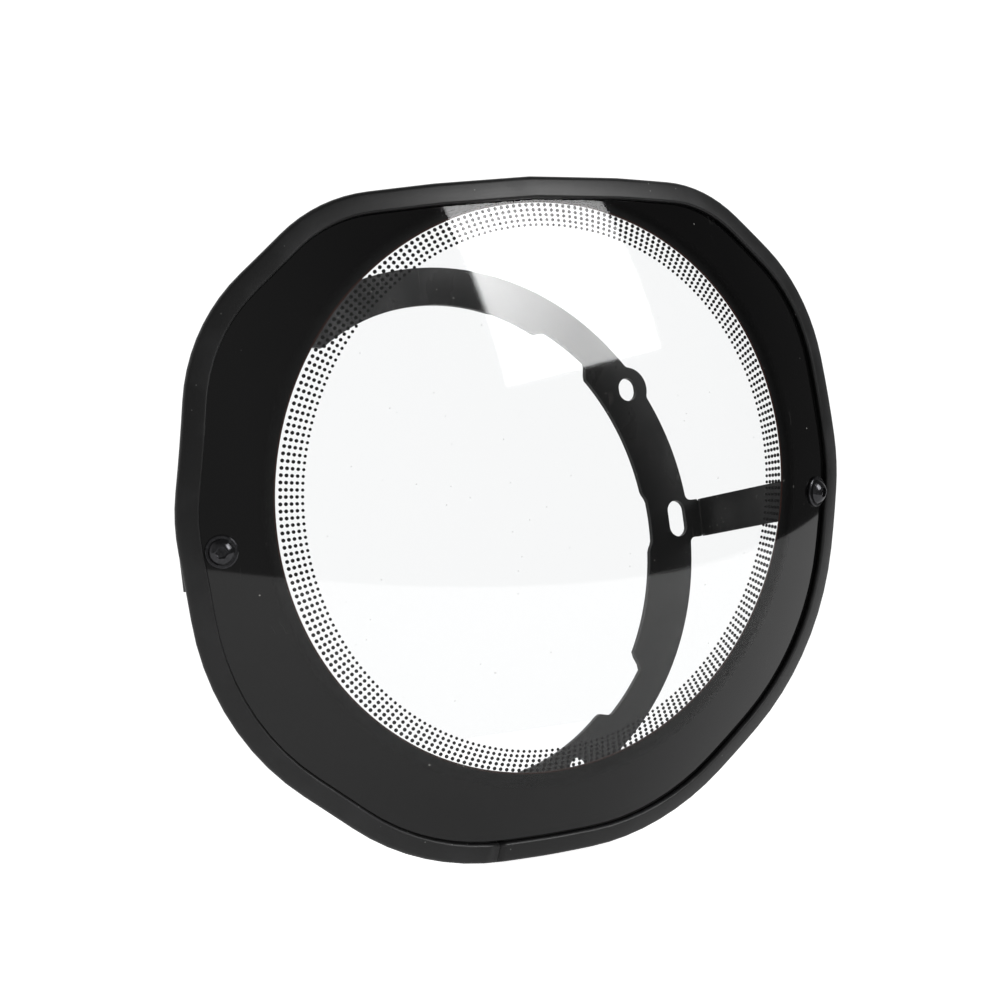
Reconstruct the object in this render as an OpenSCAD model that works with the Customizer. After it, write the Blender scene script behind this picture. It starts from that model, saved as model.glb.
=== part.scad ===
// Headlight cowl: a clear domed shell with a printed black border and a rubber edge trim,
// carried by two folded arms on a flat steel ring that bolts on round a motorbike headlamp.
// Millimetres. The origin is the centre of the ring's rear face, -Y is forwards and +Z is up.

/* [Clear shell] */
// Radius of the dome's inner face
dome_r = 353; // [300:1:420]
// Thickness of the clear shell
shell_t = 3; // [2:0.5:5]
// From the edge of the clear window out to the screws
window_side = 21.7; // [18:0.1:26]
// Height of the clear window, less than its width
window_squash = 5.2; // [0:0.1:12]
// Thickness of the printed border
print_t = 0.3; // [0.2:0.1:0.6]

/* [Outline over the trim] */
// From the screw out to the widest corner of the flank
edge_margin = 15.7; // [14.5:0.1:20]
// Widest corner of the flank, below the window's centre
flank_drop = 1.2; // [0.5:0.1:12]
// Radius of the flank's corner
flank_r = 80; // [40:1:120]
// Temple corner, inwards from the flank
temple_in = 11.1; // [8:0.1:15]
// Temple corner, below the shoulder
temple_down = 45.8; // [40:0.1:50]
// Radius of the temple corner
temple_r = 76; // [40:1:90]
// Shoulder corner, out from the middle
shoulder_out = 88.5; // [80:0.1:96]
// Radius of the shoulder corner
shoulder_r = 63; // [30:1:75]
// From the window up to the top edge
top_margin = 11.3; // [10.5:0.1:16]
// Rise of the top edge from the shoulders to the middle
top_bow = 6.9; // [3:0.1:10]
// Radius of the top edge's bow
top_bow_r = 535; // [300:5:600]
// Cheek corner, inwards from the flank
cheek_in = 11.6; // [8:0.1:16]
// Cheek corner, above the chin
cheek_up = 65.3; // [60:0.1:70]
// Radius of the cheek corner
cheek_r = 112; // [60:1:125]
// Chin corner, out from the middle
chin_out = 57.1; // [50:0.1:64]
// Radius of the chin corner
chin_r = 110; // [60:1:120]
// From the window down to the bottom edge
bottom_margin = 35.7; // [28:0.1:42]
// Drop of the bottom edge from the chin corners to the middle
bottom_bow = 0.8; // [0.5:0.1:6]
// Radius of the bottom edge's bow
bottom_bow_r = 400; // [100:10:800]

/* [Edge trim] */
// Thickness of the trim's two lips
lip_t = 2; // [1.2:0.1:3]
// Thickness of the trim's web round the shell's edge
web_t = 2.2; // [1.5:0.1:3]
// Depth of the front lip, from the outline inwards
front_lip = 9.3; // [7:0.1:11]
// Depth of the rear lip, from the outline inwards
rear_lip = 8.5; // [7:0.1:10]
// Rounding of the trim's outer edges
trim_round = 2.4; // [1:0.1:2.8]
// Gap of the butt joint
seam_gap = 0.3; // [0.2:0.1:1]
// Butt joint, to the left of the middle
seam_x = 24; // [12:1:30]

/* [Shell's place on the bracket] */
// From the ring's front face forwards to the window's centre
reach = 76.9; // [70:0.1:90]
// From the ring's centre up to the window's centre
rise = 13.1; // [5:0.1:20]
// Forward lean of the shell, in degrees
lean = 9.6; // [4:0.1:14]

/* [Bracket] */
// Thickness of the steel sheet
sheet_t = 2.5; // [2:0.5:3]
// Outer radius of the ring
ring_r = 117.7; // [115:0.1:121]
// Width of the ring beside its opening
rim_side = 21.7; // [19:0.1:25]
// Width of the ring above and below its opening
rim_top = 16.1; // [13.5:0.1:19]
// From the ring's outer edge inwards to the middle of the holes
hole_inset = 6; // [5:0.1:8]
// Diameter of the lower holes and width of the upper holes and side slots
hole_d = 9; // [8:0.1:10]
// Length of the upper holes
upper_hole_l = 10.2; // [10:0.1:13]
// Length of the side slots
slot_l = 16; // [13:0.5:20]
// Place of the upper holes above the middle, in degrees
upper_hole_a = 31.9; // [28:0.1:36]
// Place of the lower holes below the middle, in degrees
lower_hole_a = 66.4; // [62:0.1:72]
// Width of the boss round each hole
boss_wall = 5.4; // [4:0.1:8]
// Fillet where the bosses and ears leave the ring
blend_r = 2.6; // [1:0.1:5]
// From the ring's outer edge to the inner face of the arms
ear_l = 6.5; // [5.5:0.1:9]
// Width of the folded arms
arm_w = 16.6; // [12:0.2:20]
// Middle of the arms, below the ring's centre
arm_drop = 0.6; // [0.2:0.1:2]
// Inside radius of the folds
fold_r = 1; // [0.5:0.1:2]
// Radius of the tab's rounded end
tab_end_r = 7; // [6.5:0.1:7.5]
// Size of the relief notches at the fold
notch_d = 1.8; // [1:0.1:3]

/* [Screws] */
// From the arm's inner face out to the screw
tab_reach = 13.8; // [13:0.1:15.5]
// Screw, below the window's centre
screw_drop = 12.8; // [10:0.1:18]
// Nominal diameter of the screw
screw_d = 6; // [5:1:6]
// Length of the screw under its head
screw_l = 16; // [15:1:18]
// Diameter of the button head
head_d = 10.2; // [9:0.1:11]
// Height of the button head
head_h = 3.3; // [2.5:0.1:4]
// Width of the hexagon socket across flats
socket_w = 4; // [3:0.5:5]
// Depth of the hexagon socket
socket_h = 2.1; // [1.5:0.1:2.4]
// Diameter of the outer washers
washer_d = 13; // [12:0.5:14]
// Thickness of the outer washers
washer_t = 1.2; // [0.8:0.1:2]
// Diameter of the rubber washers
pad_d = 13; // [11:0.5:14]
// Thickness of the rubber washers
pad_t = 2; // [1:0.5:4]
// Clearance round the screw in the shell, washers and tab
screw_clear = 0.4; // [0.2:0.1:0.8]
// Width of the nut across flats
nut_w = 10; // [8:0.5:10]
// Height of the nut
nut_h = 5; // [4:0.5:6]

/* [Hidden] */
$fn = 96;

// Clearance between the clear shell and the printed layer on its rear face
print_gap = 0.2;
// Running clearance between the trim and what it grips
grip_clear = 0.1;
// Room between the shell's edge and the trim's web
edge_room = 1.2;
// Thinning of the sheet in the fold between arm and tab, on each face and edge
fold_thin = 0.05;
// Clearance between a nut and its screw
thread_clear = 0.05;
// Bevel of the outer washers
washer_bevel = 0.4;
// Straight rim of the screw's head under its dome
head_rim = 0.5;
// Chamfer at the screw's tip
screw_tip = 0.8;
// Turn between two points on a corner's arc, in degrees
arc_step = 5;
// Longest piece of the outline between two points
max_piece = 10;
// Points on each rounded edge of the trim
round_steps = 4;
// Slope at each end of the recesses in the ring's opening, in degrees
slope = 3;
// Recesses in the ring's opening: from and to, in degrees, and width of the ring that they leave
recesses = [[-8, 8, 19.9], [41, 59.5, 14.2], [-54.5, -35, 13.4]];
// Facets round the dome's spheres in a preview
dome_fn = 240;
// More than any cut needs
far = 500;

hole_circle_r = ring_r - hole_inset;
opening_x = ring_r - rim_side;
opening_z = ring_r - rim_top;
boss_r = hole_d / 2 + boss_wall;
arm_x = ring_r + ear_l;
screw_x = arm_x + tab_reach;
window_w = 2 * (screw_x - window_side);
window_h = window_w - window_squash;
mid_r = dome_r + shell_t / 2;
outer_r = dome_r + shell_t;
window_r = (window_w + window_h) / 4;
// Distance of the dome's centre behind the window's plane
centre_y = sqrt(pow(dome_r, 2) - pow(window_r, 2));
print_r = dome_r - print_gap;
slot_back = shell_t / 2 + print_gap + print_t + grip_clear;
slot_front = shell_t / 2 + grip_clear;
lip_back = slot_back + lip_t;
lip_front = slot_front + lip_t;
// The flat rubber washers touch the printed face with their rims
pad_front_r = sqrt(pow(print_r - print_t, 2) - pow(pad_d / 2, 2));
tab_front_r = pad_front_r - pad_t;
tab_back_r = tab_front_r - sheet_t;
screw_hole_r = screw_d / 2 + screw_clear;

// Corners of the outline: [out from the middle, above the window's centre, radius]
top = [0, window_h / 2 + top_margin, top_bow_r];
bottom = [0, -window_h / 2 - bottom_margin, bottom_bow_r];
flank = [screw_x + edge_margin, -flank_drop, flank_r];
shoulder = [shoulder_out, top[1] - top_bow, shoulder_r];
temple = [flank[0] - temple_in, shoulder[1] - temple_down, temple_r];
chin = [chin_out, bottom[1] + bottom_bow, chin_r];
cheek = [flank[0] - cheek_in, chin[1] + cheek_up, cheek_r];
right_corners = [shoulder, temple, flank, cheek, chin];
left_corners = [for (i = [len(right_corners) - 1:-1:0])
    [-right_corners[i][0], right_corners[i][1], right_corners[i][2]]];
corners = concat(left_corners, [top], right_corners, [bottom]);

function unit(v) = v / norm(v);
function flat(v) = [v[0], v[1]];

// Arc that rounds corner b between corners a and c, walked clockwise
function corner_arc(a, b, c) = let (
    u = unit(flat(a) - flat(b)),
    w = unit(flat(c) - flat(b)),
    half = acos(u * w) / 2,
    middle = flat(b) + unit(u + w) * b[2] / sin(half),
    first = flat(b) + u * b[2] / tan(half),
    start = atan2(first[1] - middle[1], first[0] - middle[0]),
    turn = 180 - 2 * half,
    steps = max(2, ceil(turn / arc_step))
) [for (k = [0:steps]) middle + b[2] * [cos(start - turn * k / steps), sin(start - turn * k / steps)]];

// Splits long pieces of an open run of points
function split(run) = concat(
    [for (i = [0:len(run) - 2])
        let (pieces = ceil(norm(run[i + 1] - run[i]) / max_piece))
        for (k = [0:pieces - 1]) run[i] + (run[i + 1] - run[i]) * k / pieces],
    [run[len(run) - 1]]);

last = len(corners) - 1;
rounded = [for (i = [0:last])
    each corner_arc(corners[i == 0 ? last : i - 1], corners[i], corners[i == last ? 0 : i + 1])];

// The trim's run starts and ends at its butt joint, in the left half of the bottom edge
first_after = [for (i = [0:len(rounded) - 1]) if (rounded[i][0] < -seam_x) i][0];
after_seam = rounded[first_after];
before_seam = rounded[(first_after + len(rounded) - 1) % len(rounded)];
seam_dir = unit(after_seam - before_seam);
seam_share = (before_seam[0] + seam_x) / (before_seam[0] - after_seam[0]);
seam_point = before_seam + (after_seam - before_seam) * seam_share;
trim_run = split(concat(
    [seam_point + seam_dir * seam_gap / 2],
    [for (k = [0:len(rounded) - 1]) rounded[(first_after + k) % len(rounded)]],
    [seam_point - seam_dir * seam_gap / 2]));
closed_run = split(concat(rounded, [rounded[0]]));
outline = [for (i = [0:len(closed_run) - 2]) closed_run[i]];

// Moves every point of a closed clockwise outline inwards
function inset(points, d) = [for (i = [0:len(points) - 1]) let (
    n = len(points),
    t0 = unit(points[i] - points[(i + n - 1) % n]),
    t1 = unit(points[(i + 1) % n] - points[i]),
    t = unit(t0 + t1)
) points[i] + [t[1], -t[0]] * d / (t0 * t)];

// Depth of the dome's surface of radius r, in the shell's own frame
function dome_y(p, r) = centre_y - sqrt(r * r - p[0] * p[0] - p[1] * p[1]);

// Frame of one screw: the dome's normal, and the tab's own way outwards
screw_depth = sqrt(pow(outer_r, 2) - pow(screw_x, 2) - pow(screw_drop, 2));
screw_local = [screw_x, -screw_depth, -screw_drop] / outer_r;
screw_axis = [screw_local[0], screw_local[1] * cos(lean) - screw_local[2] * sin(lean),
    screw_local[1] * sin(lean) + screw_local[2] * cos(lean)];
dome_centre = [0, -sheet_t - reach + centre_y * cos(lean), rise + centre_y * sin(lean)];
tab_out = unit([1, 0, 0] - screw_axis * screw_axis[0]);
tab_up = cross(screw_axis, tab_out);
// Centre line of the second fold, in the screw's frame and in the part's
bend_z = tab_back_r - fold_r;
bend_x = (arm_x + sheet_t + fold_r - bend_z * screw_axis[0]) / tab_out[0];
bend_point = dome_centre + tab_out * bend_x + screw_axis * bend_z;
bend_w = arm_w / tab_up[2];
bend_mid = (-arm_drop - bend_point[2]) / tab_up[2];
fold_outer = fold_r + sheet_t;
fold_slope = screw_axis[0] / tab_out[0];

// The shell's own frame: its window lies in the plane Y = 0
module shield_frame() {
    translate([0, -sheet_t - reach, rise]) rotate([lean, 0, 0]) children();
}

// The frame of the right screw, from the dome's centre outwards along the screw
module screw_frame() {
    multmatrix([
        [tab_out[0], tab_up[0], screw_axis[0], dome_centre[0]],
        [tab_out[1], tab_up[1], screw_axis[1], dome_centre[1]],
        [tab_out[2], tab_up[2], screw_axis[2], dome_centre[2]],
        [0, 0, 0, 1]
    ]) children();
}

module both_sides() {
    children();
    mirror([1, 0, 0]) children();
}

// A flat shape in X and Z, pushed forwards from Y = 0
module upright(depth) {
    rotate([90, 0, 0]) linear_extrude(height = depth) children();
}

// A layer of the dome between two radii
module dome_layer(r_in, r_out) {
    intersection() {
        translate([0, centre_y, 0]) difference() {
            sphere(r = r_out, $fn = dome_fn);
            sphere(r = r_in, $fn = dome_fn);
        }
        shell_block();
    }
}

// Everything within the shell's edge, for the front half of the dome
module shell_block() {
    translate([0, centre_y / 2, 0]) upright(centre_y)
        polygon(inset(outline, (web_t + edge_room) * cos(asin(flank[0] / mid_r))));
}

module screw_holes() {
    both_sides() screw_frame() translate([0, 0, tab_back_r - 1])
        cylinder(r = screw_hole_r, h = outer_r - tab_back_r + 2);
}

module clear_shell() color([0.85, 0.9, 0.92, 0.35]) difference() {
    shield_frame() dome_layer(dome_r, outer_r);
    screw_holes();
}

module printed_border() color([0.04, 0.04, 0.04]) difference() {
    shield_frame() difference() {
        dome_layer(print_r - print_t, print_r);
        translate([0, centre_y / 2, 0]) upright(centre_y)
            polygon([for (a = [0:3:357]) [window_w / 2 * cos(a), window_h / 2 * sin(a)]]);
    }
    screw_holes();
}

// Section of the trim: [inwards from the outline, out from the shell's middle face]
function quarter(x, y, r, start) = [for (k = [0:round_steps])
    [x + r * cos(start + 90 * k / round_steps), y + r * sin(start + 90 * k / round_steps)]];
lip_round = lip_t * 0.45;
trim_section = concat(
    quarter(trim_round, lip_front - trim_round, trim_round, 90),
    quarter(trim_round, trim_round - lip_back, trim_round, 180),
    quarter(rear_lip - lip_round, lip_round - lip_back, lip_round, 270),
    [[rear_lip, -slot_back], [web_t, -slot_back], [web_t, slot_front], [front_lip, slot_front]],
    quarter(front_lip - lip_round, lip_front - lip_round, lip_round, 0));

// Ring of section points where the trim passes point i of its run
function trim_ring(i) = let (
    p = trim_run[i],
    before = trim_run[max(i - 1, 0)],
    after = trim_run[min(i + 1, len(trim_run) - 1)],
    way = [after[0] - before[0], dome_y(after, mid_r) - dome_y(before, mid_r), after[1] - before[1]],
    normal = unit([p[0], dome_y(p, mid_r) - centre_y, p[1]]),
    inwards = unit(cross(way, normal))
) [for (s = trim_section) let (a = s[0] / mid_r * 180 / PI)
    [0, centre_y, 0] + (mid_r + s[1]) * (normal * cos(a) + inwards * sin(a))];

module edge_trim() color([0.12, 0.12, 0.13]) {
    n = len(trim_section);
    m = len(trim_run);
    shield_frame() polyhedron(
        points = [for (i = [0:m - 1]) each trim_ring(i)],
        faces = concat(
            [[for (k = [0:n - 1]) k]],
            [for (i = [0:m - 2]) for (k = [0:n - 1])
                [i * n + k, (i + 1) * n + k, (i + 1) * n + (k + 1) % n, i * n + (k + 1) % n]],
            [[for (k = [n - 1:-1:0]) (m - 1) * n + k]]));
}

// Radius of the ring's opening at an angle of its right half
function oval_r(a) = opening_x * opening_z / norm([opening_z * cos(a), opening_x * sin(a)]);
function ramp(x) = let (c = min(max(x, 0), 1)) c * c * (3 - 2 * c);
function share(a, r) = ramp((a - r[0]) / slope) * ramp((r[1] - a) / slope);
function deepened(r, depth, k) = r + (depth - r) * k;
function opening_r(a) = let (k = [for (r = recesses) share(a, r)], i = search(max(k), k)[0])
    deepened(oval_r(a), ring_r - recesses[i][2], k[i]);
right_edge = [for (a = [-90:1:90]) opening_r(a) * [cos(a), sin(a)]];
left_edge = [for (i = [len(right_edge) - 2:-1:1]) [-right_edge[i][0], right_edge[i][1]]];

module through_hole(r) {
    translate([0, 1, 0]) rotate([90, 0, 0]) cylinder(r = r, h = sheet_t + 2);
}

// A hole of width hole_d that is longer than wide, on the hole circle at an angle
module long_hole(angle, length) {
    half = (length - hole_d) / 2;
    translate([hole_circle_r * cos(angle), 0, hole_circle_r * sin(angle)]) {
        for (end = [-half, half]) translate([0, 0, end]) through_hole(hole_d / 2);
        translate([-hole_d / 2, -sheet_t - 1, -half]) cube([hole_d, sheet_t + 2, 2 * half]);
    }
}

// Half angle that a boss and its fillets take up, and the angle where boss and fillet meet
blend_far = ring_r + blend_r;
boss_gap = acos((pow(hole_circle_r, 2) + pow(blend_far, 2) - pow(boss_r + blend_r, 2))
    / (2 * hole_circle_r * blend_far));
blend_start = blend_far * [cos(boss_gap), sin(boss_gap)] - [hole_circle_r, 0];
boss_touch = atan2(blend_start[1], hole_circle_r * (boss_r + blend_r) / boss_r + blend_start[0]);

// Radius of the ring's outer edge at an angle d away from a boss
function boss_edge(d) = d >= boss_gap ? ring_r
    : d > boss_touch
        ? blend_far * cos(boss_gap - d) - sqrt(pow(blend_r, 2) - pow(blend_far * sin(boss_gap - d), 2))
    : hole_circle_r * cos(d) + sqrt(pow(boss_r, 2) - pow(hole_circle_r * sin(d), 2));
function edge_point(a) = [cos(a), sin(a)]
    * max(boss_edge(abs(a - upper_hole_a)), boss_edge(abs(a + lower_hole_a)));

// Angles from one value up to the next, without the last one
function span(from, to, step) = let (n = max(1, ceil((to - from) / step)))
    [for (i = [0:n - 1]) from + (to - from) * i / n];
function around(angle) = span(angle - boss_gap, angle + boss_gap, boss_gap / 12);

// Fillet between the ring and one edge of the ear; side is -1 for the lower edge and 1 for the upper
function ear_level(side) = -arm_drop + side * (arm_w / 2 + blend_r);
function ear_x(side) = sqrt(pow(blend_far, 2) - pow(ear_level(side), 2));
function ear_angle(side) = atan2(ear_level(side), ear_x(side));
function ear_fillet(from, to, side) = [for (k = [0:6]) let (t = from + (to - from) * k / 6)
    [ear_x(side), ear_level(side)] + blend_r * [cos(t), sin(t)]];

ring_step = 2;
right_outline = concat(
    [for (a = concat(span(-90, -lower_hole_a - boss_gap, ring_step), around(-lower_hole_a),
        span(-lower_hole_a + boss_gap, ear_angle(-1), ring_step))) edge_point(a)],
    ear_fillet(180 + ear_angle(-1), 90, -1),
    [[arm_x - fold_r, -arm_drop - arm_w / 2], [arm_x - fold_r, -arm_drop + arm_w / 2]],
    ear_fillet(270, 180 + ear_angle(1), 1),
    [for (a = concat(span(ear_angle(1) + ring_step, upper_hole_a - boss_gap, ring_step),
        around(upper_hole_a), span(upper_hole_a + boss_gap, 90, ring_step))) edge_point(a)],
    [[0, ring_r]]);
left_outline = [for (i = [len(right_outline) - 2:-1:1]) [-right_outline[i][0], right_outline[i][1]]];

module ring_plate() {
    difference() {
        upright(sheet_t) polygon(concat(right_outline, left_outline));
        translate([0, 1, 0]) upright(sheet_t + 2) polygon(concat(right_edge, left_edge));
        both_sides() {
            long_hole(0, slot_l);
            long_hole(upper_hole_a, upper_hole_l);
            translate([hole_circle_r * cos(lower_hole_a), 0, -hole_circle_r * sin(lower_hole_a)])
                through_hole(hole_d / 2);
        }
    }
}

// Quarter fold between the ear and the arm
module root_fold() {
    translate([arm_x - fold_r, -sheet_t - fold_r, -arm_drop - arm_w / 2]) intersection() {
        difference() {
            cylinder(r = fold_outer, h = arm_w);
            translate([0, 0, -1]) cylinder(r = fold_r, h = arm_w + 2);
        }
        cube([fold_outer, fold_outer, arm_w]);
    }
}

// The arm is cut off along the slanting line where its tab's fold begins
module arm_plate() {
    front = bend_point[1] + tab_up[1] * bend_mid - abs(tab_up[1]) * bend_w / 2 - 1;
    s = 2 * fold_outer;
    difference() {
        translate([arm_x, front, -arm_drop - arm_w / 2]) cube([sheet_t, -sheet_t - fold_r - front, arm_w]);
        screw_frame() translate([bend_x, bend_mid + bend_w / 2 + 1, bend_z]) rotate([90, 0, 0])
            linear_extrude(height = bend_w + 2) polygon([[-s, -s * fold_slope], [s, s * fold_slope],
                [s - s * fold_slope, s * fold_slope + s], [-s - s * fold_slope, s - s * fold_slope]]);
    }
}

// Fold between the arm and the tab, in the screw's frame
module tab_fold() {
    s = 2 * fold_outer;
    width = bend_w - 2 * fold_thin;
    translate([bend_x, bend_mid + width / 2, bend_z]) rotate([90, 0, 0]) intersection() {
        difference() {
            cylinder(r = fold_outer - fold_thin, h = width);
            translate([0, 0, -1]) cylinder(r = fold_r + fold_thin, h = width + 2);
        }
        linear_extrude(height = width) polygon([[0, 0], [0, s], [-s, s], [-s, -s * fold_slope]]);
    }
}

module tab_plate() {
    translate([0, 0, tab_back_r]) {
        cylinder(r = tab_end_r, h = sheet_t);
        linear_extrude(height = sheet_t) polygon([
            [bend_x, bend_mid - bend_w / 2],
            [bend_x, bend_mid + bend_w / 2],
            [0, tab_end_r],
            [0, -tab_end_r]
        ]);
    }
}

module mounting_bracket() color([0.07, 0.07, 0.07]) difference() {
    union() {
        ring_plate();
        both_sides() {
            root_fold();
            arm_plate();
            screw_frame() {
                tab_fold();
                tab_plate();
            }
        }
    }
    screw_holes();
    both_sides() for (end = [-1, 1])
        translate([arm_x, 1, -arm_drop + end * arm_w / 2]) rotate([90, 0, 0])
            cylinder(r = notch_d / 2, h = fold_outer + 1);
}

module screws() color([0.06, 0.06, 0.06]) both_sides() screw_frame() {
    seat = outer_r + washer_t;
    cap_r = (pow(head_d / 2, 2) + pow(head_h - head_rim, 2)) / (2 * (head_h - head_rim));
    difference() {
        union() {
            translate([0, 0, seat - screw_l]) cylinder(r = screw_d / 2, h = screw_l);
            translate([0, 0, seat]) intersection() {
                cylinder(r = head_d / 2, h = head_h);
                translate([0, 0, head_h - cap_r]) sphere(r = cap_r);
            }
        }
        translate([0, 0, seat + head_h - socket_h])
            cylinder(r = socket_w / 2 / cos(30), h = socket_h + 1, $fn = 6);
        translate([0, 0, seat - screw_l]) difference() {
            translate([0, 0, -1]) cylinder(r = screw_d, h = screw_tip + 1);
            cylinder(r1 = screw_d / 2 - screw_tip, r2 = screw_d / 2, h = screw_tip);
        }
    }
}

module outer_washers() color([0.08, 0.08, 0.08]) both_sides() screw_frame()
    translate([0, 0, outer_r]) difference() {
        union() {
            cylinder(r = washer_d / 2, h = washer_t - washer_bevel);
            translate([0, 0, washer_t - washer_bevel])
                cylinder(r1 = washer_d / 2, r2 = washer_d / 2 - washer_bevel, h = washer_bevel);
        }
        translate([0, 0, -1]) cylinder(r = screw_hole_r, h = washer_t + 2);
    }

module rubber_washers() color([0.1, 0.1, 0.1]) both_sides() screw_frame()
    translate([0, 0, tab_front_r]) difference() {
        cylinder(r = pad_d / 2, h = pad_t);
        translate([0, 0, -1]) cylinder(r = screw_hole_r, h = pad_t + 2);
    }

module nuts() color([0.35, 0.35, 0.36]) both_sides() screw_frame()
    translate([0, 0, tab_back_r - nut_h]) difference() {
        rotate(30) cylinder(r = nut_w / 2 / cos(30), h = nut_h, $fn = 6);
        translate([0, 0, -1]) cylinder(r = screw_d / 2 + thread_clear, h = nut_h + 2);
    }

clear_shell();
printed_border();
edge_trim();
mounting_bracket();
screws();
outer_washers();
rubber_washers();
nuts();
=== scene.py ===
import math

import bmesh
import bpy
from mathutils import Euler, Matrix, Vector


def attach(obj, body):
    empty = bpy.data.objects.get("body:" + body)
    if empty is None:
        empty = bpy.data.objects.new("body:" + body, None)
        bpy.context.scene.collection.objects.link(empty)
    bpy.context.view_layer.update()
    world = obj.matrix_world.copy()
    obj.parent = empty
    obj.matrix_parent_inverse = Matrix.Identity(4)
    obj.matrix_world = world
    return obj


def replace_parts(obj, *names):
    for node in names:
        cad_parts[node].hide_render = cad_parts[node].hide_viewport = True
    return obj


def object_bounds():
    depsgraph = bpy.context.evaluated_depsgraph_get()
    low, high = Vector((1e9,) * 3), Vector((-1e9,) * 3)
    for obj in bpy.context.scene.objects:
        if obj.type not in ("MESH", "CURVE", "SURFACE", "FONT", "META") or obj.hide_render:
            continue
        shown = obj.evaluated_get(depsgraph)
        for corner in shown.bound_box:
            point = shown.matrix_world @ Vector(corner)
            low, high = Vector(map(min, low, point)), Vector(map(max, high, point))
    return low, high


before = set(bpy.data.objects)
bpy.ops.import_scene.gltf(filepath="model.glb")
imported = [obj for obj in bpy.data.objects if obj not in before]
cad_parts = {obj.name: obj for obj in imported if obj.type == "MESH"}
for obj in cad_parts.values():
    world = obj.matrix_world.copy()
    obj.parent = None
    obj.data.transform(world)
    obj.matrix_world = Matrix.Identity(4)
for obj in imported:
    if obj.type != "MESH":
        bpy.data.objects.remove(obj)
cadBox = [list(corner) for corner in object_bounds()]
mm = 0.001
tiny = 1e-6

# the camera comes first, at the photograph's angle
cameraPlace = {
    "location": (-0.54223, -1.00263, -0.05503),
    "turn": (93.5532, 7.4799, -29.0198),  # degrees
    "lens": 96.80,
    "sensor": 36.0,
}
cameraData = bpy.data.cameras.new("camera")
cameraData.lens = cameraPlace["lens"]
cameraData.sensor_width = cameraPlace["sensor"]
camera = bpy.data.objects.new("camera", cameraData)
camera.location = cameraPlace["location"]
camera.rotation_euler = Euler([math.radians(a) for a in cameraPlace["turn"]])
bpy.context.scene.collection.objects.link(camera)
bpy.context.scene.camera = camera
bpy.context.scene.view_settings.view_transform = "Standard"
print("camera placed")


# a wrapped socket: an expression on it adds its Math nodes
class Signal:
    def __init__(self, finish, socket):
        self.finish = finish
        self.socket = socket

    def __add__(self, other):
        return self.finish.maths("ADD", self, other)

    def __mul__(self, other):
        return self.finish.maths("MULTIPLY", self, other)

    def __sub__(self, other):
        return self.finish.maths("SUBTRACT", self, other)

    def __rsub__(self, other):
        return self.finish.maths("SUBTRACT", other, self)

    def __pow__(self, other):
        return self.finish.maths("POWER", self, other)

    __radd__ = __add__
    __rmul__ = __mul__


# what all scratches and dust share
marks = {
    "stroke": (1, 1, 0.04),  # noise drawn out along a scratch
    "breaks": (40, 2.0, (1, 1, 1)), "breakFrom": 0.66, "breakTo": 0.72,  # coarse noise with gaps
    "speckCore": 0.5, "dustFade": 0.01,
}


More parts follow.
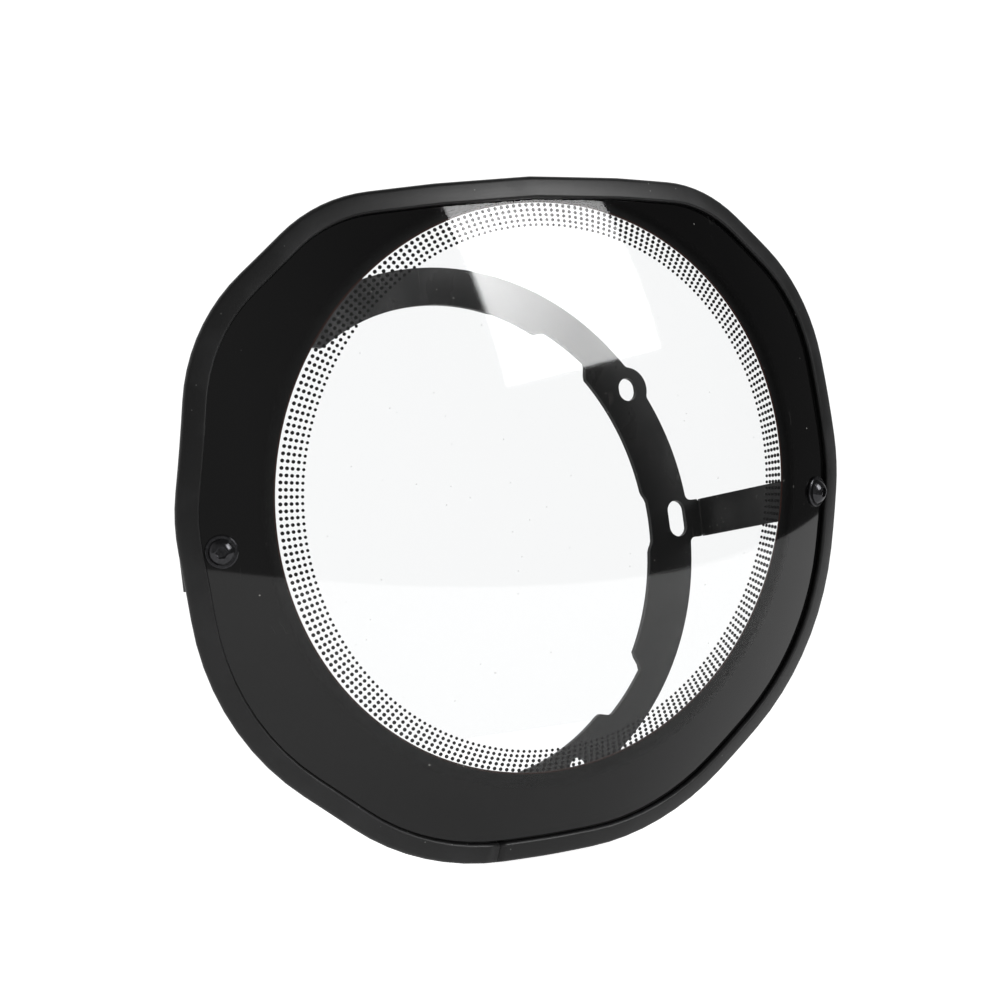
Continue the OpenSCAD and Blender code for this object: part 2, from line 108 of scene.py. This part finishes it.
# the node tree of a material, light or world
class Finish:
    def __init__(self, data):
        data.use_nodes = True
        self.data = data
        self.tree = data.node_tree
        self.tree.nodes.clear()
        self.place = self.node("ShaderNodeTexCoord", {}, {}, "Object")

    # any node: settings first, then the values or links of its sockets
    def node(self, kind, settings, sockets, out=0):
        made = self.tree.nodes.new(kind)
        for key, value in settings.items():
            setattr(made, key, value)
        for key, value in sockets.items():
            if isinstance(value, Signal):
                self.tree.links.new(value.socket, made.inputs[key])
            else:
                made.inputs[key].default_value = value
        return Signal(self, made.outputs[out]) if made.outputs else None

    def maths(self, operation, first, second=0.0):
        return self.node("ShaderNodeMath", {"operation": operation}, {0: first, 1: second})

    def vectors(self, operation, first, second=(0, 0, 0), out=0):
        return self.node("ShaderNodeVectorMath", {"operation": operation}, {0: first, 1: second}, out)

    def axis(self, vector, name):
        return self.node("ShaderNodeSeparateXYZ", {}, {0: vector}, name)

    # noise with grains about 1 / scale metres wide, stretched for brushing and scratches
    def grain(self, scale, detail=3.0, stretch=(1, 1, 1), turn=(0, 0, 0)):
        laid = self.node("ShaderNodeMapping", {}, {
            "Vector": self.place, "Rotation": turn, "Scale": stretch})
        return self.node("ShaderNodeTexNoise", {}, {"Vector": laid, "Scale": scale, "Detail": detail})

    def ramp(self, signal, start, end, low=0.0, high=1.0):
        return self.node("ShaderNodeMapRange", {"clamp": True}, {
            "Value": signal, "From Min": start, "From Max": end, "To Min": low, "To Max": high})

    # soft patches of a laid grain, which show from the first of two noise levels, fully from the second
    def patches(self, laid, shown):
        return self.ramp(self.grain(*laid), *shown)

    # thin lines where stretched noise crosses its middle, broken up by a coarse noise
    def scratches(self, scale, width, turn, amount):
        off = self.maths("ABSOLUTE", self.grain(scale, 1.0, marks["stroke"], turn) - 0.5)
        here = self.ramp(self.grain(*marks["breaks"], turn),
                         marks["breakFrom"] - amount, marks["breakTo"] - amount)
        return self.ramp(off, 0.0, width, 1.0, 0.0) * here

    # small round specks, in a share of the cells
    def dust(self, scale, size, share):
        cells = {"Vector": self.place, "Scale": scale}
        far = self.node("ShaderNodeTexVoronoi", {}, cells)
        shade = self.node("ShaderNodeTexVoronoi", {}, cells, "Color")
        pick = self.node("ShaderNodeSeparateColor", {}, {"Color": shade}, "Red")
        kept = self.ramp(pick, 1.0 - marks["dustFade"] - share, 1.0 - share)
        return self.ramp(far, size * marks["speckCore"], size, 1.0, 0.0) * kept

    def colour(self, mask, plain, marked):
        plain = plain if isinstance(plain, Signal) else (*plain, 1.0)
        return self.node("ShaderNodeMix", {"data_type": "RGBA"},
                         {0: mask, 6: plain, 7: (*marked, 1.0)}, 2)

    def grey(self, value):
        return self.node("ShaderNodeCombineColor", {}, {0: value, 1: value, 2: value})

    # 0 in the middle of the window, 1 on its edge, more outside it; it lies as the shell does
    def windowShare(self, window):
        laid = self.node("ShaderNodeMapping", {"vector_type": "TEXTURE"}, {
            "Vector": self.place, "Location": window["centre"], "Rotation": (window["lean"], 0, 0),
            "Scale": (window["width"] / 2, 1.0, window["height"] / 2)})
        return self.vectors("LENGTH", self.vectors("MULTIPLY", laid, (1, 0, 1)), out="Value")

    def bump(self, height, strength, depth):
        return self.node("ShaderNodeBump", {}, {
            "Height": height, "Strength": strength, "Distance": depth})

    def principled(self, **sockets):
        return self.node("ShaderNodeBsdfPrincipled", {},
                         {name.replace("_", " "): value for name, value in sockets.items()})

    def mixed(self, mask, first, second):
        return self.node("ShaderNodeMixShader", {}, {0: mask, 1: first, 2: second})

    def surface(self, shader):
        self.node("ShaderNodeOutputMaterial", {}, {"Surface": shader})
        return self.data


def finishNamed(name):
    return Finish(bpy.data.materials.new(name))


# in the looks, a grain is (scale, detail, stretch, turn), scratches are (scale, width, turn, amount),
# dust is (scale, size, share) and a bump is (strength, depth)

# clear inside the window; further out the outer face shows the black print under its own gloss
def makeClearPlastic(window):
    look = {
        "tint": (0.945, 0.949, 0.950), "polish": 0.045,
        "mirror": 0.04, "mirrorAtEdge": 0.9,  # share one face reflects head on, and its gain at a glance
        "outerFace": (0.3543, 0.3549),  # metres from the dome's centre, between the two faces
        "windowEdge": (1.0, 1.004), "blackFrom": (1.016, 1.055),  # shares of the window's size
        "swirl": (28, 1.0), "swirlBump": (0.012, 0.001),
        "dustColour": (0.62, 0.61, 0.58), "dustRough": 0.8,
        "speckShare": 0.30, "fineShare": 0.05, "smearShare": 0.008,
        "fine": (420, 0.006, (0.3, 0.2, 0.9), 0.02), "fineDust": (260, 0.11, 0.06),
        "coarseDust": (90, 0.06, 0.10),
        "smears": (14, 3.0, (1, 1, 0.35), (0.5, 0.2, 0.4)), "smearShown": (0.5, 0.8),
        "ink": (0.0008, 0.0008, 0.0009), "worn": (0.0020, 0.0019, 0.0019),
        "cloudy": (22, 4.0), "cloudShown": (0.4, 0.75), "roughCloud": 0.008,
        "fineFlecks": (240, 0.10, 0.035), "coarseFlecks": (70, 0.045, 0.10),
        "fleckShare": 0.55, "roughFleck": 0.4,
        "hairs": (260, 0.006, (0.4, 0.2, 1.1), 0.01), "hairShare": 0.05, "refraction": 1.5,
    }
    f = finishNamed("clearPlastic")
    facing = f.node("ShaderNodeLayerWeight", {}, {"Blend": 0.5}, "Facing")
    out = f.windowShare(window)
    away = f.vectors("DISTANCE", f.place, window["domeCentre"], "Value")
    outer = f.ramp(away, *look["outerFace"])
    shiny = f.maths("MAXIMUM", outer, f.ramp(out, *look["windowEdge"], 1.0, 0.0))
    mirrorShare = (look["mirror"] + look["mirrorAtEdge"] * facing ** 5.0) * shiny  # Schlick's rule
    fine = f.scratches(*look["fine"])
    specks = f.dust(*look["fineDust"]) + f.dust(*look["coarseDust"])
    smears = f.patches(look["smears"], look["smearShown"])
    swirl = f.bump(f.grain(*look["swirl"]), *look["swirlBump"])
    clear = f.node("ShaderNodeBsdfTransparent", {}, {"Color": (*look["tint"], 1.0)})
    gloss = f.principled(Base_Color=(1.0, 1.0, 1.0, 1.0), Metallic=1.0, Roughness=look["polish"],
                         Normal=swirl)
    dusty = f.principled(Base_Color=(*look["dustColour"], 1.0), Roughness=look["dustRough"])
    dirt = specks * look["speckShare"] + fine * look["fineShare"] + smears * look["smearShare"]
    glazed = f.mixed(dirt, f.mixed(mirrorShare, clear, gloss), dusty)

    cloudy = f.patches(look["cloudy"], look["cloudShown"])
    flecks = f.dust(*look["fineFlecks"]) + f.dust(*look["coarseFlecks"])
    hairs = f.scratches(*look["hairs"])
    shade = f.colour(flecks * look["fleckShare"] + hairs * look["hairShare"],
                     f.colour(cloudy, look["ink"], look["worn"]), look["dustColour"])
    rough = look["polish"] + look["roughCloud"] * cloudy + look["roughFleck"] * flecks
    black = f.principled(Base_Color=shade, Roughness=rough, IOR=look["refraction"], Normal=swirl)
    return f.surface(f.mixed(f.ramp(out, *look["blackFrom"]) * outer, glazed, black))


# matt black ink with a thin red-brown line along the window
def makeBlackPrint(window):
    look = {
        "ink": (0.0016, 0.0016, 0.0018), "worn": (0.0045, 0.0044, 0.0044),
        "cloudy": (22, 4.0), "cloudShown": (0.4, 0.75), "roughCloud": 0.15,
        "line": (0.034, 0.010, 0.006), "lineFrom": (0.998, 0.9995), "lineTo": (1.004, 1.007),
        "pinholes": (300, 0.05, 0.02), "pinholeColour": (0.10, 0.098, 0.094), "pinholeShare": 0.3,
        "rough": 0.55, "specular": 0.12, "tooth": (1800, 2.0), "toothBump": (0.05, 0.0001),
    }
    f = finishNamed("blackPrint")
    cloudy = f.patches(look["cloudy"], look["cloudShown"])
    out = f.windowShare(window)
    line = f.ramp(out, *look["lineTo"], 1.0, 0.0) * f.ramp(out, *look["lineFrom"])
    pinholes = f.dust(*look["pinholes"])
    shade = f.colour(line, f.colour(cloudy, look["ink"], look["worn"]), look["line"])
    shade = f.colour(pinholes * look["pinholeShare"], shade, look["pinholeColour"])
    tooth = f.bump(f.grain(*look["tooth"]), *look["toothBump"])
    rough = look["rough"] + look["roughCloud"] * cloudy
    return f.surface(f.principled(Base_Color=shade, Roughness=rough,
                                  Specular_IOR_Level=look["specular"], Normal=tooth))


# porous black rubber with a greyish bloom
def makeTrimRubber():
    look = {
        "black": (0.0058, 0.0058, 0.0060), "bloom": (0.019, 0.019, 0.020),
        "bloomShown": (0.45, 0.75), "bloomShare": 0.55,
        "pores": (2600, 4.0), "poreShown": (0.3, 0.7), "poreHeight": 0.6,
        "flow": (60, 4.0), "flowHeight": 0.4,
        "dust": (420, 0.16, 0.05), "dustColour": (0.16, 0.16, 0.155),
        "rough": 0.35, "roughPore": 0.12, "roughBloom": 0.06, "specular": 0.45, "bump": (0.22, 0.00025),
    }
    f = finishNamed("trimRubber")
    pores = f.grain(*look["pores"])
    flow = f.grain(*look["flow"])
    bloom = f.ramp(flow, *look["bloomShown"])
    specks = f.dust(*look["dust"])
    shade = f.colour(specks, f.colour(bloom * look["bloomShare"], look["black"], look["bloom"]),
                     look["dustColour"])
    pitted = f.ramp(pores, *look["poreShown"])
    rough = look["rough"] + look["roughPore"] * pitted + look["roughBloom"] * bloom
    height = pores * look["poreHeight"] + flow * look["flowHeight"]
    return f.surface(f.principled(Base_Color=shade, Roughness=rough, Specular_IOR_Level=look["specular"],
                                  Normal=f.bump(height, *look["bump"])))


# satin black paint, scratched and rubbed in handling
def makeBracketSteel():
    look = {
        "paint": (0.0080, 0.0080, 0.0084), "rubbed": (0.075, 0.072, 0.068), "rubbedShare": 0.13,
        "peel": (700, 2.0), "patches": (55, 6.0, (1, 1, 0.6), (0, 0.6, 0)), "patchShown": (0.40, 0.64),
        "upright": (150, 0.012, (0.2, 0.9, 0.3), 0.07), "slanted": (110, 0.010, (1.1, 0.9, 1.4), 0.07),
        "scratchShare": 0.7, "scratchHeight": -0.8,
        "fineDust": (330, 0.14, 0.05), "coarseDust": (120, 0.05, 0.10),
        "dustColour": (0.20, 0.195, 0.18), "dustShare": 0.7,
        "rough": 0.40, "roughPatch": 0.16, "roughScratch": 0.10, "roughDust": 0.3,
        "specular": 0.17, "bump": (0.10, 0.00012),
    }
    f = finishNamed("bracketSteel")
    peel = f.grain(*look["peel"])
    patches = f.patches(look["patches"], look["patchShown"])
    scored = f.scratches(*look["upright"]) + f.scratches(*look["slanted"])
    specks = f.dust(*look["fineDust"]) + f.dust(*look["coarseDust"])
    shade = f.colour(scored * look["scratchShare"] + patches * look["rubbedShare"],
                     look["paint"], look["rubbed"])
    shade = f.colour(specks * look["dustShare"], shade, look["dustColour"])
    rough = (look["rough"] - look["roughPatch"] * patches + look["roughScratch"] * scored
             + look["roughDust"] * specks)
    height = peel + scored * look["scratchHeight"]
    return f.surface(f.principled(Base_Color=shade, Roughness=rough, Specular_IOR_Level=look["specular"],
                                  Normal=f.bump(height, *look["bump"])))


# turned rings about the fixings' axes; the left side is the mirror image of the right one
def makeScrewSteel(name, base, rough, spot, axis):
    look = {
        "rings": {"Scale": 3600, "Detail": 2},
        "oxide": (900, 4.0), "oxideShown": (0.35, 0.7), "oxideShare": 0.25, "oxideHeight": 0.15,
        "rubbed": (900, 0.02, (0.5, 0.3, 0.2), 0.06), "rubbedShare": 0.4, "rubbedGain": 3.0,
        "metal": 0.85, "roughOxide": 0.08, "roughRubbed": 0.1, "bump": (0.30, 0.00006),
    }
    f = finishNamed(name)
    folded = f.vectors("ADD", f.vectors("MULTIPLY", f.vectors("ABSOLUTE", f.place), (1, 0, 0)),
                       f.vectors("MULTIPLY", f.place, (0, 1, 1)))
    across = f.vectors("CROSS_PRODUCT", f.vectors("SUBTRACT", folded, tuple(spot)), tuple(axis))
    away = f.vectors("LENGTH", across, out="Value")
    rings = f.node("ShaderNodeTexNoise", {"noise_dimensions": "1D"}, {"W": away, **look["rings"]})
    oxide = f.patches(look["oxide"], look["oxideShown"])
    rubbed = f.scratches(*look["rubbed"])
    shade = f.colour(oxide * look["oxideShare"] + rubbed * look["rubbedShare"], base,
                     tuple(c * look["rubbedGain"] for c in base))
    worn = rough + look["roughOxide"] * oxide + look["roughRubbed"] * rubbed
    height = rings + oxide * look["oxideHeight"]
    return f.surface(f.principled(Base_Color=shade, Metallic=look["metal"], Roughness=worn,
                                  Normal=f.bump(height, *look["bump"])))


shellSizes = {  # mm, in the shell's own frame unless said
    "domeRadius": 353.0, "thickness": 3.0,
    "windowWidth": 232.6, "windowHeight": 227.4,
    "printWidth": 234.2,  # the window in the print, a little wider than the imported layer's
    "frontOfRing": 2.5, "reach": 76.9, "rise": 13.1, "lean": math.radians(9.6),
    "corners": [(88.5, 118.1, 63), (142.6, 72.3, 76), (153.7, -1.2, 80),
                (142.1, -83.3, 112), (57.1, -148.6, 110)],  # x, z, radius
    "top": (0.0, 125.0, 535), "bottom": (0.0, -149.4, 400), "cornerSteps": 12,
    "edgeInside": 3.06, "printInside": 3.26,  # in from the outline over the trim
    "cell": 4.0, "gridHalf": 165, "merge": 0.02,
    "screwSide": 138.0, "screwDrop": 12.8,  # from the window's middle
}
outerRadius = (shellSizes["domeRadius"] + shellSizes["thickness"]) * mm
windowRadius = (shellSizes["windowWidth"] + shellSizes["windowHeight"]) / 4
centreDepth = math.sqrt(shellSizes["domeRadius"] ** 2 - windowRadius ** 2)
windowMiddle = Vector((0, -shellSizes["frontOfRing"] - shellSizes["reach"], shellSizes["rise"])) * mm
shellFrame = Matrix.Translation(windowMiddle) @ Matrix.Rotation(shellSizes["lean"], 4, "X")
domeCentre = shellFrame @ Vector((0, centreDepth * mm, 0))
upright = Matrix.Rotation(math.radians(90), 4, "X")


# point of a sphere about the dome's centre, above a place on the window's plane; all in metres
def onDome(x, z, radius):
    return shellFrame @ Vector((x, centreDepth * mm - math.sqrt(radius ** 2 - x * x - z * z), z))


def pieceFrom(bm, name, material, smoothAngle=35):
    data = bpy.data.meshes.new(name)
    bm.to_mesh(data)
    bm.free()
    data.materials.append(material)
    data.shade_smooth()
    data.set_sharp_from_angle(angle=math.radians(smoothAngle))
    made = bpy.data.objects.new(name, data)
    bpy.context.scene.collection.objects.link(made)
    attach(made, "root")
    return made


# the rounded outline as one flat face: each corner is bevelled by its own tangent length
def outlineFace():
    bm = bmesh.new()
    right = shellSizes["corners"]
    left = [(-x, z, r) for x, z, r in reversed(right)]
    spots = left + [shellSizes["top"]] + right + [shellSizes["bottom"]]
    verts = [bm.verts.new((x * mm, 0, z * mm)) for x, z, r in spots]
    bm.faces.new(verts)
    for vert, (x, z, r) in zip(verts, spots):
        a, b = [(edge.other_vert(vert).co - vert.co).normalized() for edge in vert.link_edges]
        tangent = r * mm / math.tan(a.angle(b) / 2)
        bmesh.ops.bevel(bm, geom=[vert], offset=tangent, offset_type="OFFSET",
                        segments=shellSizes["cornerSteps"], profile=0.5, affect="VERTICES", material=-1)
    return bm


# straight cuts that together leave the outline: a point and the way outwards of each
def outlineCuts(inside):
    bm = outlineFace()
    cuts = []
    for edge in bm.edges:
        a, b = edge.verts[0].co, edge.verts[1].co
        if (b - a).length < tiny:
            continue
        way = (b - a).normalized()
        out = Vector((way.z, 0, -way.x))
        out = out if out.dot((a + b) / 2) > 0 else -out
        cuts.append(((a + b) / 2 - out * inside * mm, out))
    bm.free()
    return cuts


# how many times way leads from the middle to the nearest of the cuts
def outlineReach(cuts, way):
    return min(out.dot(spot) / out.dot(way) for spot, out in cuts if out.dot(way) > tiny)


# a flat sheet laid on the front sphere, closed to a layer by a second skin on the back sphere
def laidOnDome(bm, front, back):
    for vert in bm.verts:
        vert.co = onDome(vert.co.x, vert.co.z, front)
    bmesh.ops.recalc_face_normals(bm, faces=bm.faces)
    if bm.faces[0].normal.dot(bm.faces[0].calc_center_median() - domeCentre) < 0:
        bmesh.ops.reverse_faces(bm, faces=bm.faces)
    inner = bmesh.ops.extrude_face_region(bm, geom=bm.faces[:], use_keep_orig=True)
    newVerts = [g for g in inner["geom"] if isinstance(g, bmesh.types.BMVert)]
    bmesh.ops.scale(bm, vec=(back / front,) * 3, verts=newVerts, space=Matrix.Translation(-domeCentre))
    bmesh.ops.recalc_face_normals(bm, faces=bm.faces)


def makeClearShell(material):
    bm = bmesh.new()
    half = shellSizes["gridHalf"] * mm
    count = int(2 * half / (shellSizes["cell"] * mm))
    bmesh.ops.create_grid(bm, x_segments=count, y_segments=count, size=half, matrix=upright)
    for spot, out in outlineCuts(shellSizes["edgeInside"]):
        everything = bm.verts[:] + bm.edges[:] + bm.faces[:]
        bmesh.ops.bisect_plane(bm, geom=everything, plane_co=spot, plane_no=out, clear_outer=True)
    bmesh.ops.remove_doubles(bm, verts=bm.verts, dist=shellSizes["merge"] * mm)
    laidOnDome(bm, outerRadius, shellSizes["domeRadius"] * mm)
    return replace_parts(pieceFrom(bm, "clear_shell_dome", material), "clear_shell")


# rings of faces from the window's edge out to the outline
def makePrintedBorder(material):
    sizes = {"steps": 240, "rings": 10, "front": 352.8, "back": 352.5}
    bm = bmesh.new()
    made = bmesh.ops.create_circle(bm, cap_ends=False, segments=sizes["steps"], radius=1.0,
                                   matrix=upright)
    cuts = outlineCuts(shellSizes["printInside"])
    starts = {}  # each newest vertex with its way's first and last point
    for vert in made["verts"]:
        vert.co.x *= shellSizes["printWidth"] / 2 * mm
        vert.co.z *= shellSizes["windowHeight"] / 2 * mm
        starts[vert] = (vert.co.copy(), vert.co * outlineReach(cuts, vert.co))
    edges = bm.edges[:]
    for ring in range(1, sizes["rings"] + 1):
        grown = bmesh.ops.extrude_edge_only(bm, edges=edges)["geom"]
        edges = [g for g in grown
                 if isinstance(g, bmesh.types.BMEdge) and all(v not in starts for v in g.verts)]
        fresh = {}
        for vert in [g for g in grown if isinstance(g, bmesh.types.BMVert)]:
            old = next(e.other_vert(vert) for e in vert.link_edges if e.other_vert(vert) in starts)
            fresh[vert] = starts[old]
        for vert, (first, last) in fresh.items():
            vert.co = first.lerp(last, ring / sizes["rings"])
        starts = fresh
    laidOnDome(bm, sizes["front"] * mm, sizes["back"] * mm)
    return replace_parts(pieceFrom(bm, "printed_border_layer", material), "printed_border")


# five rows of dots that grow smaller towards the middle
def makePrintedDots(material):
    sizes = {
        "columns": 256, "start": 175.43, "wide": 1.0114, "tall": 0.9886, "steps": 10,
        "front": 353.05, "back": 352.65,
        "rows": [(114, 1.55), (112, 1.53), (110, 1.47), (108, 1.42), (106, 1.25)],  # radius, diameter
    }
    bm = bmesh.new()
    middle = (sizes["front"] + sizes["back"]) / 2 * mm
    depth = (sizes["front"] - sizes["back"]) * mm
    for radius, across in sizes["rows"]:
        for column in range(sizes["columns"]):
            angle = math.radians(sizes["start"] + 360 * column / sizes["columns"])
            spot = onDome(radius * mm * sizes["wide"] * math.cos(angle),
                          radius * mm * sizes["tall"] * math.sin(angle), middle)
            turn = (spot - domeCentre).to_track_quat("Z", "Y").to_matrix().to_4x4()
            bmesh.ops.create_cone(bm, cap_ends=True, segments=sizes["steps"], radius1=across / 2 * mm,
                                  radius2=across / 2 * mm, depth=depth,
                                  matrix=Matrix.Translation(spot) @ turn)
    return pieceFrom(bm, "printed_dots", material)


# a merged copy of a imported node, flat areas made whole again, its sharp edges broken
def dressedCopy(nodeName, name, material, edgeBreak, smoothAngle=30):
    sizes = {"merge": 0.002, "flatWithin": 0.4, "sharpFrom": 38, "steps": 2}  # mm and degrees
    bm = bmesh.new()
    bm.from_mesh(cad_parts[nodeName].data)
    bmesh.ops.remove_doubles(bm, verts=bm.verts, dist=sizes["merge"] * mm)
    if edgeBreak:
        bmesh.ops.dissolve_limit(bm, angle_limit=math.radians(sizes["flatWithin"]),
                                 verts=bm.verts, edges=bm.edges)
    piece = pieceFrom(bm, name, material, smoothAngle)
    if edgeBreak:
        broken = piece.modifiers.new("brokenEdges", "BEVEL")
        broken.width = edgeBreak * mm
        broken.segments = sizes["steps"]
        broken.limit_method = "ANGLE"
        broken.angle_limit = math.radians(sizes["sharpFrom"])
    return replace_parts(piece, nodeName)


window = {
    "centre": tuple(shellFrame.translation), "lean": shellSizes["lean"],
    "width": shellSizes["printWidth"] * mm, "height": shellSizes["windowHeight"] * mm,
    "domeCentre": tuple(domeCentre),
}
screwSpot = onDome(shellSizes["screwSide"] * mm, -shellSizes["screwDrop"] * mm, outerRadius)
screwAxis = (screwSpot - domeCentre).normalized()
clearPlastic = makeClearPlastic(window)
blackPrint = makeBlackPrint(window)
trimRubber = makeTrimRubber()
bracketSteel = makeBracketSteel()
turning = {"spot": screwSpot, "axis": screwAxis}
screwSteel = makeScrewSteel("screwSteel", base=(0.042, 0.042, 0.045), rough=0.11, **turning)
zincSteel = makeScrewSteel("zincSteel", base=(0.42, 0.42, 0.44), rough=0.30, **turning)
print("materials made")

makeClearShell(clearPlastic)
makePrintedBorder(blackPrint)
makePrintedDots(blackPrint)
print("shell, border and dots made")

# edges are broken by so many mm; the trim's lips are round already
dressedCopy("edge_trim", "edge_trim_rubber", trimRubber, edgeBreak=0, smoothAngle=50)
dressedCopy("mounting_bracket", "bracket_sheet", bracketSteel, edgeBreak=0.35)
dressedCopy("screws", "button_screws", screwSteel, edgeBreak=0.15)
dressedCopy("outer_washers", "outer_washer_pair", screwSteel, edgeBreak=0.1)
dressedCopy("rubber_washers", "rubber_washer_pair", trimRubber, edgeBreak=0.3)
dressedCopy("nuts", "nut_pair", zincSteel, edgeBreak=0.25)
print("trim, bracket and fixings dressed")


# metres and degrees; a white table whose front edge shows in the lower border, one softbox, a dim room
studio = {
    "floorHeight": min(corner[2] for corner in cadBox) - 0.3 * mm,  # just under the cowl
    "floorEdge": [(-1.6, -0.655), (1.6, 0.032), (1.6, 1.8), (-1.6, 1.8)],
    "floorMottle": (9, 3.0), "mottleShown": (0.3, 0.7), "floorPale": (0.88, 0.92),
    "floorRough": 0.9, "floorSpecular": 0.1,
    "floorGlow": 0.30, "floorSeen": 0.80,  # in reflections, and as the camera sees it
    "softboxWay": 34.0, "softboxDistance": 1.3, "softboxFrom": -0.09,  # measured from this y
    "softboxMiddle": (-0.034, 0.623), "softboxSize": (0.68, 1.0), "softboxRoll": 8.2,
    "softboxPower": 16.2,
    "hotSpot": (-0.31, -0.10, 0.0), "hotGain": 1.5, "coolGain": 0.85, "hotReach": 0.42,
    "roomLeft": 0.27, "roomDark": 0.09, "roomSides": (-0.3, 0.4),
    "roomTop": (0.66, 0.84), "roomTopShare": 0.38,
    "roomBright": 0.85, "roomBehind": (0.0, 0.5), "backdrop": 1.12,
}


def makeFloor():
    bm = bmesh.new()
    bm.faces.new([bm.verts.new((x, y, studio["floorHeight"])) for x, y in studio["floorEdge"]])
    data = bpy.data.meshes.new("floor")
    bm.to_mesh(data)
    bm.free()
    f = finishNamed("paleFloor")
    mottle = f.ramp(f.grain(*studio["floorMottle"]), *studio["mottleShown"], *studio["floorPale"])
    seen = f.node("ShaderNodeLightPath", {}, {}, "Is Camera Ray")
    glow = studio["floorGlow"] + (studio["floorSeen"] - studio["floorGlow"]) * seen
    data.materials.append(f.surface(f.principled(
        Base_Color=f.grey(mottle), Roughness=studio["floorRough"],
        Specular_IOR_Level=studio["floorSpecular"], Emission_Color=f.grey(glow), Emission_Strength=1.0)))
    floor = bpy.data.objects.new("floor", data)
    bpy.context.scene.collection.objects.link(floor)


# the softbox is brighter round one spot, as its lamp stands off its middle
def makeSoftbox():
    light = bpy.data.lights.new("softbox", "AREA")
    light.shape = "RECTANGLE"
    light.size, light.size_y = studio["softboxSize"]
    light.energy = studio["softboxPower"]
    softbox = bpy.data.objects.new("softbox", light)
    way = math.radians(studio["softboxWay"])
    aside, up = studio["softboxMiddle"]
    far = studio["softboxDistance"]
    softbox.location = (far * math.sin(way) + aside * math.cos(way),
                        studio["softboxFrom"] - far * math.cos(way) + aside * math.sin(way), up)
    softbox.rotation_euler = (
        Matrix.Rotation(way, 3, "Z") @ Matrix.Rotation(math.radians(90), 3, "X")
        @ Matrix.Rotation(math.radians(studio["softboxRoll"]), 3, "Z")).to_euler()
    bpy.context.scene.collection.objects.link(softbox)
    bpy.context.view_layer.update()
    lamp = softbox.matrix_world @ Vector(studio["hotSpot"])
    s = Finish(light)
    spot = s.node("ShaderNodeNewGeometry", {}, {}, "Position")
    away = s.vectors("DISTANCE", spot, tuple(lamp), "Value")
    gain = s.ramp(away, 0.0, studio["hotReach"], studio["hotGain"], studio["coolGain"])
    lit = s.node("ShaderNodeEmission", {}, {"Strength": gain})
    s.node("ShaderNodeOutputLight", {}, {"Surface": lit})


# white paper for the camera; for light and reflections a dim room in front and a bright one behind
def makeRoom():
    world = bpy.data.worlds.new("studio")
    bpy.context.scene.world = world
    w = Finish(world)
    way = w.node("ShaderNodeTexCoord", {}, {}, "Generated")
    ahead = (w.ramp(w.axis(way, "X"), *studio["roomSides"], studio["roomLeft"], studio["roomDark"])
             * w.ramp(w.axis(way, "Z"), *studio["roomTop"], 1.0, studio["roomTopShare"]))
    behind = w.ramp(w.axis(way, "Y"), *studio["roomBehind"])
    strength = ahead + (studio["roomBright"] - ahead) * behind
    room = w.node("ShaderNodeBackground", {}, {"Color": (1, 1, 1, 1), "Strength": strength})
    paper = w.node("ShaderNodeBackground", {}, {"Color": (1, 1, 1, 1), "Strength": studio["backdrop"]})
    seen = w.node("ShaderNodeLightPath", {}, {}, "Is Camera Ray")
    w.node("ShaderNodeOutputWorld", {}, {"Surface": w.mixed(seen, room, paper)})


makeFloor()
makeSoftbox()
makeRoom()
print("studio lit")
